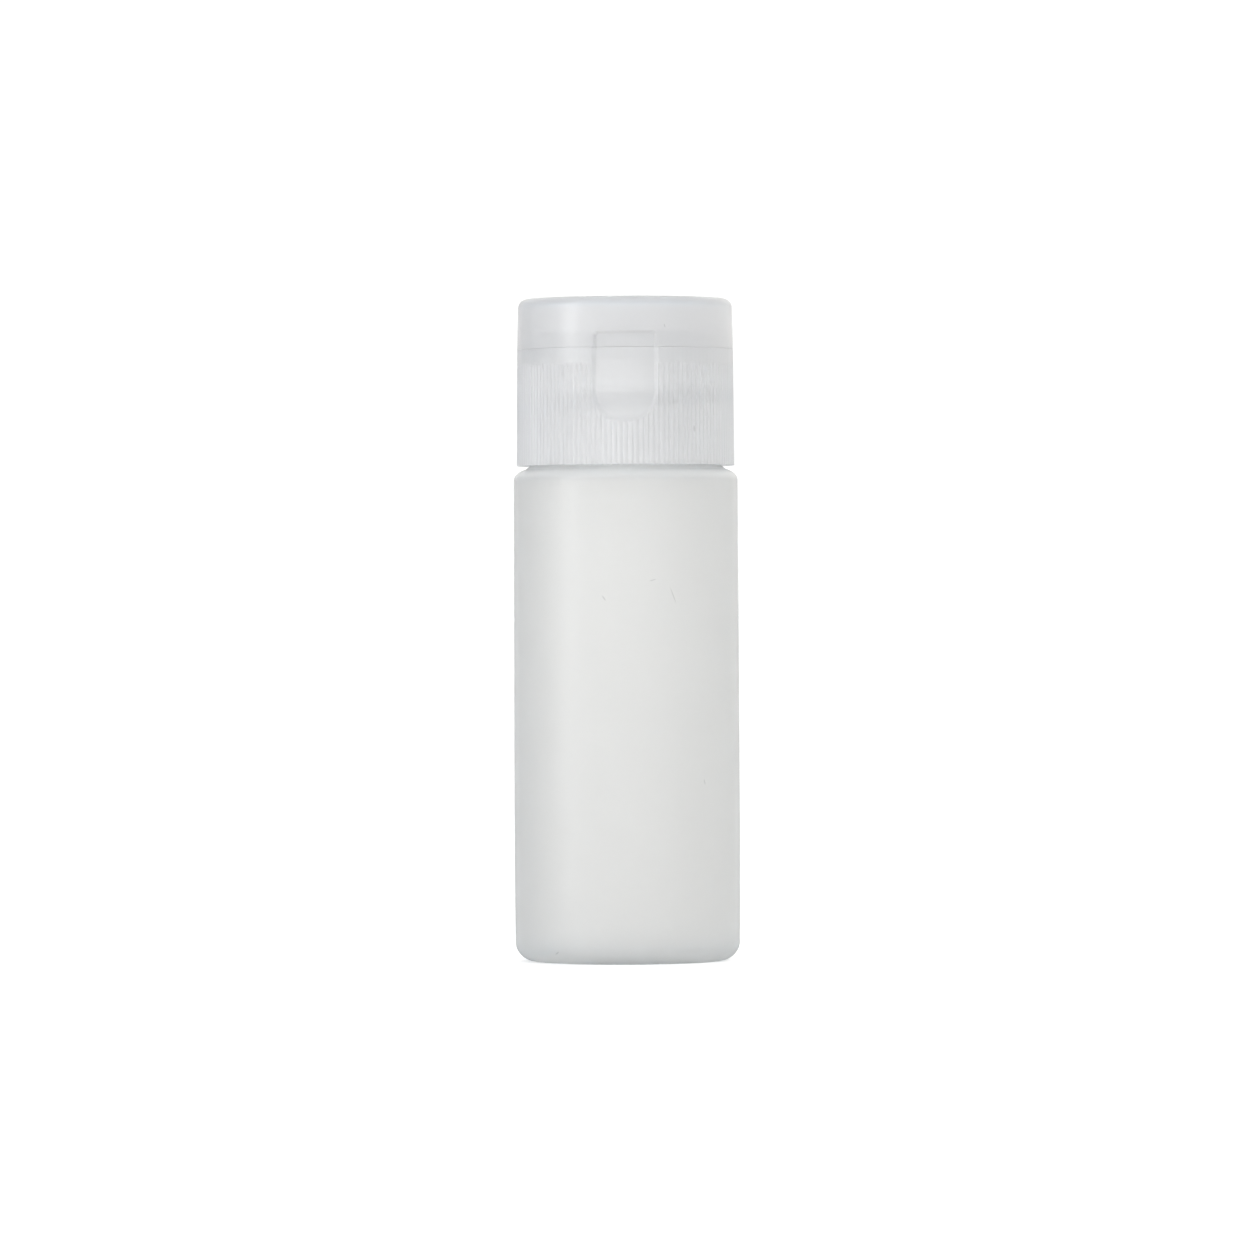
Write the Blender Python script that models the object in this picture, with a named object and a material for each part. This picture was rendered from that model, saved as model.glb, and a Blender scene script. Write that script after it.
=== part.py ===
"""Small squeeze bottle for paint with a screw-on flip-top closure.

Frame: +Z up, origin at the centre of the base on the surface it stands on, -Y is the front with
the thumb scoop, +Y is the back with the hinge. Lengths are in metres.
"""

import math

import bmesh
import bpy
from mathutils import Matrix, Vector

MM = 0.001
TURNED_STEPS = 48
EDGE = 0.2 * MM

# Bottle: outer shape, wall and neck finish.
BODY_RADIUS = 14.1 * MM
BODY_TOP_RADIUS = 13.96 * MM
HEEL_RADIUS = 14.0 * MM
HEEL_ROUNDING = 2.4 * MM
WALL = 0.95 * MM
PUNT_HEIGHT = 1.0 * MM
STANDING_RING = 2.0 * MM
WIDEST_HEIGHT = 16.0 * MM
SHOULDER_HEIGHT = 60.0 * MM
SHOULDER_RISE = 1.5 * MM
SHOULDER_REACH = 2.36 * MM
NECK_RADIUS = 10.95 * MM
NECK_BORE = 9.3 * MM
NECK_TOP = 76.5 * MM
NECK_FILLET = 0.8 * MM
INNER_SHOULDER = 1.6 * MM

# Thread: a right-hand single start with a lead of 1/8 inch.
THREAD_LEAD = 3.175 * MM
THREAD_TURNS = 1.5
THREAD_BOTTOM = 68.84 * MM
THREAD_RUN_OUT_DEGREES = 25.0
THREAD_END_SHARE = 0.1
NECK_THREAD_CREST = 11.95 * MM
NECK_THREAD_WIDTHS = (2.2 * MM, 1.0 * MM)
CAP_THREAD_CREST = 11.25 * MM
CAP_THREAD_WIDTHS = (1.6 * MM, 0.6 * MM)
THREAD_ROOTING = 0.4 * MM

# Closure base: ribbed skirt, shelf, raised deck and nozzle.
CAP_BOTTOM = 61.9 * MM
CAP_BOTTOM_RADIUS = 13.6 * MM
PARTING = 76.3 * MM
PARTING_RADIUS = 13.5 * MM
RIB_COUNT = 128
RIB_DEPTH = 0.24 * MM
RIB_TOP = 74.45 * MM
RIB_FADE = 0.3 * MM
SKIRT_BORE = 12.25 * MM
SKIRT_LEAD_IN = 0.35 * MM
SHELF_UNDERSIDE = 75.0 * MM
DECK_RADIUS = 12.0 * MM
DECK_BORE = 11.3 * MM
DECK_UNDERSIDE = 77.2 * MM
DECK_TOP = 78.4 * MM
NOZZLE_RADIUS = 2.0 * MM
NOZZLE_TOP = 80.6 * MM
NOZZLE_TAPER = 0.05 * MM
ORIFICE_RADIUS = 1.3 * MM

# Thumb scoop: a U that crosses the parting line, deep in the base and shallow in the lid.
SCOOP_HALF_WIDTH = 4.25 * MM
SCOOP_ROUND_HEIGHT = 71.0 * MM
SCOOP_FLOOR_RADIUS = 12.75 * MM
SCOOP_FLARE = 1.3 * MM
LID_SCOOP_HALF_WIDTH = 3.97 * MM
LID_SCOOP_TOP = 78.3 * MM
LID_SCOOP_FLOOR_RADIUS = 13.08 * MM

# Lid: a shallow cup with a boss and a sealing pin.
LID_GAP = 0.15 * MM
LID_TOP = 82.65 * MM
LID_TOP_RADIUS = 13.37 * MM
LID_ROUNDING = 1.15 * MM
LID_THICKNESS = 1.2 * MM
LID_BORE = 12.28 * MM
INNER_CORNER = 0.5 * MM
BOSS_RADIUS = 1.85 * MM
PIN_RADIUS = 0.85 * MM
PIN_POINT = 0.35 * MM
PIN_TIP = 79.2 * MM

# Sealing liner between the neck and the deck.
LINER_RADIUS = 11.05 * MM
LINER_HOLE = 2.3 * MM
LINER_GAP = 0.12 * MM

# Hinge: straps on a flat across the back of the base and the lid.
BACK_FLAT = 12.95 * MM
BACK_FLAT_BOTTOM = 69.6 * MM
HINGE_Y = 13.13 * MM
STRAP_THICKNESS = 0.22 * MM
CENTRE_STRAP_THICKNESS = 0.26 * MM
CENTRE_STRAP_HALF_WIDTH = 1.4 * MM
CENTRE_STRAP_REACH = 1.9 * MM
SIDE_STRAP_INNER = 2.2 * MM
SIDE_STRAP_OUTER = 3.5 * MM
SIDE_STRAP_REACH = 0.9 * MM

CUTTER_MARGIN = 2.0 * MM
CUTTER_REACH = (10.0 * MM, 20.0 * MM)
HINGE_Z = PARTING + LID_GAP / 2


def clear_scene():
    for obj in list(bpy.data.objects):
        bpy.data.objects.remove(obj, do_unlink=True)


def plastic(name, colour, roughness, alpha):
    """A milky plastic as a Principled BSDF."""
    material = bpy.data.materials.new(name)
    material.use_nodes = True
    shader = material.node_tree.nodes["Principled BSDF"]
    shader.inputs["Base Color"].default_value = (*colour, 1.0)
    shader.inputs["Roughness"].default_value = roughness
    shader.inputs["Metallic"].default_value = 0.0
    shader.inputs["Alpha"].default_value = alpha
    return material


def link(name, mesh, material=None, helper=False):
    """Puts a mesh in the scene as one object; a helper is left out of the model."""
    obj = bpy.data.objects.new(name, mesh)
    bpy.context.scene.collection.objects.link(obj)
    if material:
        mesh.materials.append(material)
    if helper:
        obj.hide_render = True
        obj.display_type = "WIRE"
    else:
        mesh.shade_smooth()
        mesh.set_sharp_from_angle(angle=math.radians(35))
    return obj


def finish_mesh(name, bm):
    """Merges coincident points, turns the faces outwards and returns the mesh."""
    bmesh.ops.remove_doubles(bm, verts=bm.verts, dist=1e-7)
    bmesh.ops.recalc_face_normals(bm, faces=bm.faces)
    mesh = bpy.data.meshes.new(name)
    bm.to_mesh(mesh)
    bm.free()
    return mesh


def arc(centre, radii, start, end, steps):
    """Points on an ellipse's arc in the profile plane, its end points included."""
    angles = [math.radians(start + (end - start) * i / steps) for i in range(steps + 1)]
    return [(centre[0] + radii[0] * math.cos(a), centre[1] + radii[1] * math.sin(a)) for a in angles]


def turned(name, profile, closed=False, steps=TURNED_STEPS):
    """Spins a profile of (radius, height) points about Z. An open profile starts and ends on the axis."""
    bm = bmesh.new()
    verts = [bm.verts.new((radius, 0.0, height)) for radius, height in profile]
    edges = [bm.edges.new(pair) for pair in zip(verts, verts[1:])]
    if closed:
        edges.append(bm.edges.new((verts[-1], verts[0])))
    bmesh.ops.spin(
        bm, geom=verts + edges, cent=(0, 0, 0), axis=(0, 0, 1), angle=math.tau, steps=steps, use_merge=True
    )
    return finish_mesh(name, bm)


def front_prism(name, outline):
    """Extrudes an outline of (x, z) points along Y, through the front of the closure."""
    near, far = CUTTER_REACH
    bm = bmesh.new()
    face = bm.faces.new([bm.verts.new((x, -near, z)) for x, z in outline])
    grown = bmesh.ops.extrude_face_region(bm, geom=[face])
    moved = [item for item in grown["geom"] if isinstance(item, bmesh.types.BMVert)]
    bmesh.ops.translate(bm, verts=moved, vec=(0, near - far, 0))
    return finish_mesh(name, bm)


def block(name, low, high):
    """A box from its lowest and highest corners."""
    bm = bmesh.new()
    size = Vector(high) - Vector(low)
    centre = (Vector(high) + Vector(low)) / 2
    matrix = Matrix.Translation(centre) @ Matrix.Diagonal((*size, 1.0))
    bmesh.ops.create_cube(bm, size=1.0, matrix=matrix)
    return finish_mesh(name, bm)


def helical_thread(name, bottom, root, crest, widths):
    """A trapezoid swept up a right-hand helix, its crest sinking to the root at both ends."""
    bm = bmesh.new()
    sections = round(THREAD_TURNS * TURNED_STEPS)
    rings = []
    for i in range(sections + 1):
        turn = math.tau * THREAD_TURNS * i / sections
        to_end = math.degrees(min(turn, math.tau * THREAD_TURNS - turn))
        share = min(1.0, to_end / THREAD_RUN_OUT_DEGREES)
        tip = root + (crest - root) * (THREAD_END_SHARE + (1 - THREAD_END_SHARE) * share)
        height = bottom + THREAD_LEAD * turn / math.tau
        corners = (
            (root, height - widths[0] / 2),
            (tip, height - widths[1] / 2),
            (tip, height + widths[1] / 2),
            (root, height + widths[0] / 2),
        )
        rings.append([bm.verts.new((r * math.cos(turn), r * math.sin(turn), z)) for r, z in corners])
    for lower, upper in zip(rings, rings[1:]):
        for k in range(4):
            bm.faces.new((lower[k], lower[(k + 1) % 4], upper[(k + 1) % 4], upper[k]))
    bm.faces.new(rings[0])
    bm.faces.new(rings[-1])
    return finish_mesh(name, bm)


def combine(obj, other, operation):
    """Adds a Boolean that joins another object to this one or cuts it away."""
    modifier = obj.modifiers.new(other.name, "BOOLEAN")
    modifier.operation = operation
    modifier.solver = "EXACT"
    modifier.object = other


def punt(base, radius, steps=4):
    """The floor's dome: it falls as the square of the radius, from its full height to the base."""
    shares = [i / steps for i in range(steps)]
    return [(share * radius, base + PUNT_HEIGHT * (1 - share**2)) for share in shares]


def bottle_profile():
    """Outside from the middle of the base up to the lip, then the inside back down to the middle."""
    heel = HEEL_RADIUS - HEEL_ROUNDING
    ring_inner = heel - STANDING_RING
    outside = [*punt(0.0, ring_inner), (ring_inner, 0.0)]
    outside += arc((heel, HEEL_ROUNDING), (HEEL_ROUNDING, HEEL_ROUNDING), -90, 0, 5)
    outside += [(BODY_RADIUS, WIDEST_HEIGHT)]
    shoulder_inner = BODY_TOP_RADIUS - SHOULDER_REACH
    shoulder_top = SHOULDER_HEIGHT + SHOULDER_RISE
    outside += arc((shoulder_inner, SHOULDER_HEIGHT), (SHOULDER_REACH, SHOULDER_RISE), 0, 90, 5)
    outside += [(NECK_RADIUS + NECK_FILLET / 4, shoulder_top + NECK_FILLET / 4)]
    outside += [(NECK_RADIUS, shoulder_top + NECK_FILLET)]
    outside += [(NECK_RADIUS, NECK_TOP - EDGE), (NECK_RADIUS - EDGE, NECK_TOP)]

    inside = [(NECK_BORE + EDGE, NECK_TOP), (NECK_BORE, NECK_TOP - EDGE)]
    inside += [(NECK_BORE, shoulder_top), (NECK_BORE + NECK_FILLET / 2, shoulder_top - NECK_FILLET / 2)]
    inner_corner = (BODY_TOP_RADIUS - WALL - INNER_SHOULDER, shoulder_top - WALL - INNER_SHOULDER / 2)
    inside += arc(inner_corner, (INNER_SHOULDER, INNER_SHOULDER / 2), 90, 0, 3)
    inside += [(BODY_RADIUS - WALL, WIDEST_HEIGHT)]
    inner_rounding = HEEL_ROUNDING - WALL / 2
    inner_heel = (HEEL_RADIUS - WALL - inner_rounding, WALL + inner_rounding)
    inside += arc(inner_heel, (inner_rounding, inner_rounding), 0, -90, 4)
    inside += reversed(punt(WALL, ring_inner))
    return outside + inside


def make_bottle(material):
    bottle = link("bottle", turned("bottle", bottle_profile()), material)
    root = NECK_RADIUS - THREAD_ROOTING
    mesh = helical_thread("neck_thread", THREAD_BOTTOM, root, NECK_THREAD_CREST, NECK_THREAD_WIDTHS)
    thread = link("neck_thread", mesh, helper=True)
    combine(bottle, thread, "UNION")
    return bottle


def skirt_radius(height):
    """The skirt's outer radius, which shrinks a little from its bottom edge to the parting line."""
    share = (height - CAP_BOTTOM) / (PARTING - CAP_BOTTOM)
    return CAP_BOTTOM_RADIUS + (PARTING_RADIUS - CAP_BOTTOM_RADIUS) * share


def ribbed_skirt():
    """A solid drum with a groove between each pair of ribs, which fade out below a smooth collar."""
    bm = bmesh.new()
    levels = ((CAP_BOTTOM, RIB_DEPTH), (RIB_TOP - RIB_FADE, RIB_DEPTH), (RIB_TOP, 0.0), (PARTING, 0.0))
    rings = []
    for height, depth in levels:
        ring = []
        for k in range(2 * RIB_COUNT):
            angle = math.tau * k / (2 * RIB_COUNT)
            radius = skirt_radius(height) - (depth if k % 2 else 0.0)
            ring.append(bm.verts.new((radius * math.cos(angle), radius * math.sin(angle), height)))
        rings.append(ring)
    for lower, upper in zip(rings, rings[1:]):
        for k in range(2 * RIB_COUNT):
            after = (k + 1) % (2 * RIB_COUNT)
            bm.faces.new((lower[k], lower[after], upper[after], upper[k]))
    bm.faces.new(rings[0])
    bm.faces.new(rings[-1])
    return finish_mesh("skirt", bm)


def scoop_outline():
    """The U, open above the parting line and round at the bottom."""
    top = PARTING + CUTTER_MARGIN
    round_part = arc((0.0, SCOOP_ROUND_HEIGHT), (SCOOP_HALF_WIDTH, SCOOP_HALF_WIDTH), 0, -180, 14)
    return [(SCOOP_HALF_WIDTH, top), *round_part, (-SCOOP_HALF_WIDTH, top)]


def make_scoop_cutter():
    """The U cut from outside down to a floor that curves out to the skirt at its bottom."""
    outline = scoop_outline()
    cutter = link("scoop_cutter", front_prism("scoop_cutter", outline), helper=True)
    bottom = SCOOP_ROUND_HEIGHT - SCOOP_HALF_WIDTH
    flare_centre = (SCOOP_FLOOR_RADIUS + SCOOP_FLARE, bottom + SCOOP_FLARE)
    core = [(0.0, bottom - CUTTER_MARGIN), (SCOOP_FLOOR_RADIUS + SCOOP_FLARE, bottom - CUTTER_MARGIN)]
    core += arc(flare_centre, (SCOOP_FLARE, SCOOP_FLARE), -90, -180, 5)
    core += [(SCOOP_FLOOR_RADIUS, PARTING + 2 * CUTTER_MARGIN), (0.0, PARTING + 2 * CUTTER_MARGIN)]
    floor = link("scoop_floor", turned("scoop_floor", core, steps=2 * TURNED_STEPS), helper=True)
    combine(cutter, floor, "DIFFERENCE")
    return cutter


def make_deck():
    """The raised deck and its nozzle, as one turned solid that the skirt is joined to."""
    nozzle_tip = NOZZLE_RADIUS - NOZZLE_TAPER
    profile = [
        (0.0, SHELF_UNDERSIDE),
        (DECK_RADIUS, SHELF_UNDERSIDE),
        (DECK_RADIUS, DECK_TOP - EDGE),
        (DECK_RADIUS - EDGE, DECK_TOP),
        (NOZZLE_RADIUS + EDGE, DECK_TOP),
        (NOZZLE_RADIUS, DECK_TOP + EDGE),
        (nozzle_tip, NOZZLE_TOP - EDGE),
        (nozzle_tip - EDGE, NOZZLE_TOP),
        (0.0, NOZZLE_TOP),
    ]
    return link("deck", turned("deck", profile), helper=True)


def make_cap_bore():
    """The room for the neck, the liner's seat and the orifice through the nozzle."""
    mouth = SKIRT_BORE + SKIRT_LEAD_IN
    profile = [
        (0.0, CAP_BOTTOM - CUTTER_MARGIN),
        (mouth, CAP_BOTTOM - CUTTER_MARGIN),
        (mouth, CAP_BOTTOM),
        (SKIRT_BORE, CAP_BOTTOM + 2 * SKIRT_LEAD_IN),
        (SKIRT_BORE, SHELF_UNDERSIDE),
        (DECK_BORE, SHELF_UNDERSIDE + EDGE),
        (DECK_BORE, DECK_UNDERSIDE),
        (ORIFICE_RADIUS, DECK_UNDERSIDE),
        (ORIFICE_RADIUS, NOZZLE_TOP + CUTTER_MARGIN),
        (0.0, NOZZLE_TOP + CUTTER_MARGIN),
    ]
    return link("cap_bore", turned("cap_bore", profile), helper=True)


def make_back_flat():
    """A slab that trims the back of the base and the lid flat, where the hinge straps lie."""
    low = (-2 * BODY_RADIUS, BACK_FLAT, BACK_FLAT_BOTTOM)
    high = (2 * BODY_RADIUS, 2 * BODY_RADIUS, LID_TOP + CUTTER_MARGIN)
    return link("back_flat", block("back_flat", low, high), helper=True)


def make_cap_base(material, back_flat):
    base = link("cap_base", ribbed_skirt(), material)
    combine(base, make_deck(), "UNION")
    combine(base, make_cap_bore(), "DIFFERENCE")
    bottom = THREAD_BOTTOM - THREAD_LEAD / 2
    root = SKIRT_BORE + THREAD_ROOTING
    mesh = helical_thread("cap_thread", bottom, root, CAP_THREAD_CREST, CAP_THREAD_WIDTHS)
    combine(base, link("cap_thread", mesh, helper=True), "UNION")
    combine(base, make_scoop_cutter(), "DIFFERENCE")
    combine(base, back_flat, "DIFFERENCE")
    return base


def lid_profile():
    """From the pin's tip out over the ceiling, down the inner wall, up the outer wall and over the top."""
    bottom = PARTING + LID_GAP
    ceiling = LID_TOP - LID_THICKNESS
    boss_foot = NOZZLE_TOP + LID_GAP
    profile = [(0.0, PIN_TIP), (PIN_RADIUS - PIN_POINT, PIN_TIP), (PIN_RADIUS, PIN_TIP + PIN_POINT)]
    profile += [(PIN_RADIUS, boss_foot), (BOSS_RADIUS, boss_foot), (BOSS_RADIUS, ceiling)]
    profile += [(LID_BORE - INNER_CORNER, ceiling), (LID_BORE, ceiling - INNER_CORNER)]
    profile += [(LID_BORE, bottom), (PARTING_RADIUS - EDGE / 2, bottom), (PARTING_RADIUS, bottom + EDGE / 2)]
    corner = (LID_TOP_RADIUS - LID_ROUNDING, LID_TOP - LID_ROUNDING)
    profile += arc(corner, (LID_ROUNDING, LID_ROUNDING), 0, 90, 4)
    profile += [(0.0, LID_TOP)]
    return profile


def make_lid_scoop_cutter():
    """The shallow end of the thumb scoop in the lid's front."""
    wide = LID_SCOOP_HALF_WIDTH
    outline = [(-wide, PARTING - CUTTER_MARGIN), (wide, PARTING - CUTTER_MARGIN)]
    outline += [(wide, LID_SCOOP_TOP), (-wide, LID_SCOOP_TOP)]
    cutter = link("lid_scoop_cutter", front_prism("lid_scoop_cutter", outline), helper=True)
    core = [(0.0, PARTING - 2 * CUTTER_MARGIN), (LID_SCOOP_FLOOR_RADIUS, PARTING - 2 * CUTTER_MARGIN)]
    core += [(LID_SCOOP_FLOOR_RADIUS, LID_TOP), (0.0, LID_TOP)]
    floor = link("lid_scoop_floor", turned("lid_scoop_floor", core, steps=2 * TURNED_STEPS), helper=True)
    combine(cutter, floor, "DIFFERENCE")
    return cutter


def make_lid(material, back_flat):
    """The lid turns about the hinge line, so its origin is there."""
    mesh = turned("lid", lid_profile())
    mesh.transform(Matrix.Translation((0, -HINGE_Y, -HINGE_Z)))
    lid = link("lid", mesh, material)
    lid.location = (0, HINGE_Y, HINGE_Z)
    combine(lid, make_lid_scoop_cutter(), "DIFFERENCE")
    combine(lid, back_flat, "DIFFERENCE")
    return lid


def make_liner(material):
    """A washer that the closure presses on the bottle's lip."""
    bottom = NECK_TOP + LINER_GAP
    top = DECK_UNDERSIDE - LINER_GAP
    profile = [(LINER_HOLE, bottom), (LINER_RADIUS, bottom), (LINER_RADIUS, top), (LINER_HOLE, top)]
    return link("sealing_liner", turned("sealing_liner", profile, closed=True), material)


def make_strap(name, inner, outer, reach, thickness, material):
    """A thin band across the parting line, its middle on the hinge line."""
    low = (inner, HINGE_Y - thickness / 2, HINGE_Z - reach)
    high = (outer, HINGE_Y + thickness / 2, HINGE_Z + reach)
    return link(name, block(name, low, high), material)


def make_hinge(material):
    wide = CENTRE_STRAP_HALF_WIDTH
    make_strap("hinge_strap_centre", -wide, wide, CENTRE_STRAP_REACH, CENTRE_STRAP_THICKNESS, material)
    for side, sign in (("left", -1), ("right", 1)):
        inner, outer = sorted((sign * SIDE_STRAP_INNER, sign * SIDE_STRAP_OUTER))
        make_strap(f"hinge_strap_{side}", inner, outer, SIDE_STRAP_REACH, STRAP_THICKNESS, material)


def main():
    clear_scene()
    bottle_plastic = plastic("soft_polyethylene", (0.86, 0.88, 0.89), 0.42, 0.6)
    closure_plastic = plastic("natural_polypropylene", (0.85, 0.87, 0.88), 0.35, 0.6)
    liner_foam = plastic("white_foam", (0.93, 0.93, 0.92), 0.7, 1.0)
    back_flat = make_back_flat()
    make_bottle(bottle_plastic)
    make_liner(liner_foam)
    make_cap_base(closure_plastic, back_flat)
    make_lid(closure_plastic, back_flat)
    make_hinge(closure_plastic)


main()
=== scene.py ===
import math

import bpy
import numpy as np
from mathutils import Matrix, Vector


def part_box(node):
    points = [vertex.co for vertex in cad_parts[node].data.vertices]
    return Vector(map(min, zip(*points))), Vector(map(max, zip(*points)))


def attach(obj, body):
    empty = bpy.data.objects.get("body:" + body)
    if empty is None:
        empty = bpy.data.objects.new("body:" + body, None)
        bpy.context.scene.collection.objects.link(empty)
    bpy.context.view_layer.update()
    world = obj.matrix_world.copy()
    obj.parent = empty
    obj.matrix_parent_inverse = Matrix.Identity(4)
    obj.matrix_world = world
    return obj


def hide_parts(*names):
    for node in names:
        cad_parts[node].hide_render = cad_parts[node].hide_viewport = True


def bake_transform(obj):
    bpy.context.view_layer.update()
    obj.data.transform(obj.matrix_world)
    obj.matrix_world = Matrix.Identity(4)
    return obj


# Finished surfaces, plastics and studio for a small squeeze bottle with a flip-top closure.
#
# The file is laid out as an add-on and is run as a script. Lengths are in metres, +Z is up, -Y is the
# front with the thumb scoop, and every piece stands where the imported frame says.

bl_info = {
    "name": "Squeeze bottle with flip-top closure",
    "version": (1, 0, 0),
    "blender": (4, 5, 0),
    "location": "3D View > Sidebar > Bottle",
    "description": "Makes the surfaces, plastics and studio of a small translucent squeeze bottle",
    "category": "Object",
}

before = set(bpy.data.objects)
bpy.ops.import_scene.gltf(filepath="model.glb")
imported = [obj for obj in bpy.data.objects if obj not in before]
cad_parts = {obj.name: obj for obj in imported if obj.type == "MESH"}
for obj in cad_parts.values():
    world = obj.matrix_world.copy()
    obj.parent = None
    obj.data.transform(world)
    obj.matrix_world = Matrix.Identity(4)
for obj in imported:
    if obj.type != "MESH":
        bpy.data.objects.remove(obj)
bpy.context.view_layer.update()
MM = 0.001
# Two measures closer than this are the same.
NEAR = 0.01 * MM
SHARP_ANGLE = math.radians(40)
# Red, green and blue of the surround: on the far left and over the rest, and in front and behind.
SURROUND_SIDES = ((0.02, 1.22), (0.06, 1.22), (0.12, 1.22))
SURROUND_DEPTHS = ((0.60, 1.02), (0.615, 1.0), (0.635, 0.965))
FRONT_TINT = (0.95, 0.98, 1.0)
WHITE = (1.0, 1.0, 1.0, 1.0)
FLOOR_HALF = 30.0
SENSOR = 36.0
# Handling marks: x, z, turn in degrees, half length and half width, the lengths in millimetres.
BOTTLE_MARKS = (
    (-2.75, 45.3, -55, 0.55, 0.13),
    (5.8, 45.6, -70, 1.4, 0.1),
    (3.3, 47.5, 15, 0.6, 0.1),
    (-8.75, 1.4, 40, 0.4, 0.14),
    (9.6, 22.5, -80, 0.5, 0.1),
)
CLOSURE_MARKS = ((8.5, 66.2, -86, 0.55, 0.14), (4.9, 78.9, -75, 0.35, 0.1))

BOTTLE_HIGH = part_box("bottle")[1]
CAP_LOW, CAP_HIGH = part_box("cap_base")
LID_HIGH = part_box("lid")[1]
LINER_LOW, LINER_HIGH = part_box("sealing_liner")


def number(name, description, default, **kind):
    """A setting that is one number."""
    return bpy.props.FloatProperty(name=name, description=description, default=default, **kind)


def length(name, description, default):
    """A length setting in metres, given in millimetres."""
    return number(name, description, default * MM, unit="LENGTH", precision=5)


def degrees(name, description, default):
    """An angle setting, given in degrees."""
    return number(name, description, math.radians(default), subtype="ANGLE")


def plain_number(name, description, default):
    """A setting without a unit, 0 or more."""
    return number(name, description, default, min=0.0)


def share(name, description, default):
    """A setting from 0 to 1."""
    return number(name, description, default, min=0.0, max=1.0, subtype="FACTOR")


def colour(name, description, default):
    """A linear RGB colour setting."""
    return bpy.props.FloatVectorProperty(
        name=name, description=description, default=default, size=3, min=0.0, max=1.0, subtype="COLOR"
    )


class BottleSizes(bpy.types.PropertyGroup):
    """The blow-moulded bottle: its radius and height come from the frame."""

    wall: length("Wall", "Thickness of the side wall", 0.95)
    floor_thickness: length("Floor thickness", "Thickness of the base over its standing ring", 1.3)
    heel_radius: length("Heel radius", "Outer radius just above the rounded heel", 14.0)
    heel_rounding: length("Heel rounding", "Radius of the rounded heel", 2.4)
    widest_height: length("Widest height", "Height at which the body is widest", 16.0)
    standing_ring: length("Standing ring", "Width of the flat ring it stands on", 2.0)
    dome_height: length("Dome height", "How far the middle of the base is pushed up", 1.0)
    shoulder_radius: length("Shoulder radius", "Outer radius where the shoulder starts", 13.96)
    shoulder_height: length("Shoulder height", "Height at which the shoulder starts", 60.0)
    shoulder_rise: length("Shoulder rise", "Height of the rounded shoulder", 1.5)
    shoulder_reach: length("Shoulder reach", "How far the shoulder turns in", 2.36)
    neck_radius: length("Neck radius", "Outer radius between the threads", 10.95)
    neck_bore: length("Neck bore", "Inner radius of the neck", 9.3)
    shoulder_turn: degrees("Shoulder turn", "Angle at which the shoulder's arc gives way to the neck", 68)
    seam_height: length("Seam height", "How far the mould's parting seam stands out", 0.03)
    seam_width: length("Seam width", "Half width of the seam's bell curve", 0.07)
    weld_height: length("Weld height", "How far the pinched tube's weld line stands out", 0.14)
    weld_width: length("Weld width", "Half width of the weld line's bell curve", 0.35)
    weld_length: length("Weld length", "Half length of the weld line", 9.0)
    columns: bpy.props.IntProperty(name="Columns", description="Steps round the body", default=256, min=48)


class ThreadSizes(bpy.types.PropertyGroup):
    """The screw thread of the neck and of the closure, half a lead apart."""

    lead: length("Lead", "Rise in one turn", 3.175)
    turns: plain_number("Turns", "Turns of thread", 1.5)
    bottom: length("Bottom", "Height at which the neck's thread starts", 68.84)
    run_out: degrees("Run-out", "Turn in which an end sinks away", 25)
    neck_height: length("Neck ridge height", "How far the neck's ridge stands out", 1.0)
    neck_crest: length("Neck crest", "Width of the neck's ridge at its crest", 1.0)
    neck_root: length("Neck root", "Width of the neck's ridge at its root", 1.85)
    cap_height: length("Cap ridge height", "How far the closure's ridge stands in", 1.0)
    cap_crest: length("Cap crest", "Width of the closure's ridge at its crest", 0.6)
    cap_root: length("Cap root", "Width of the closure's ridge at its root", 1.3)


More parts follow.
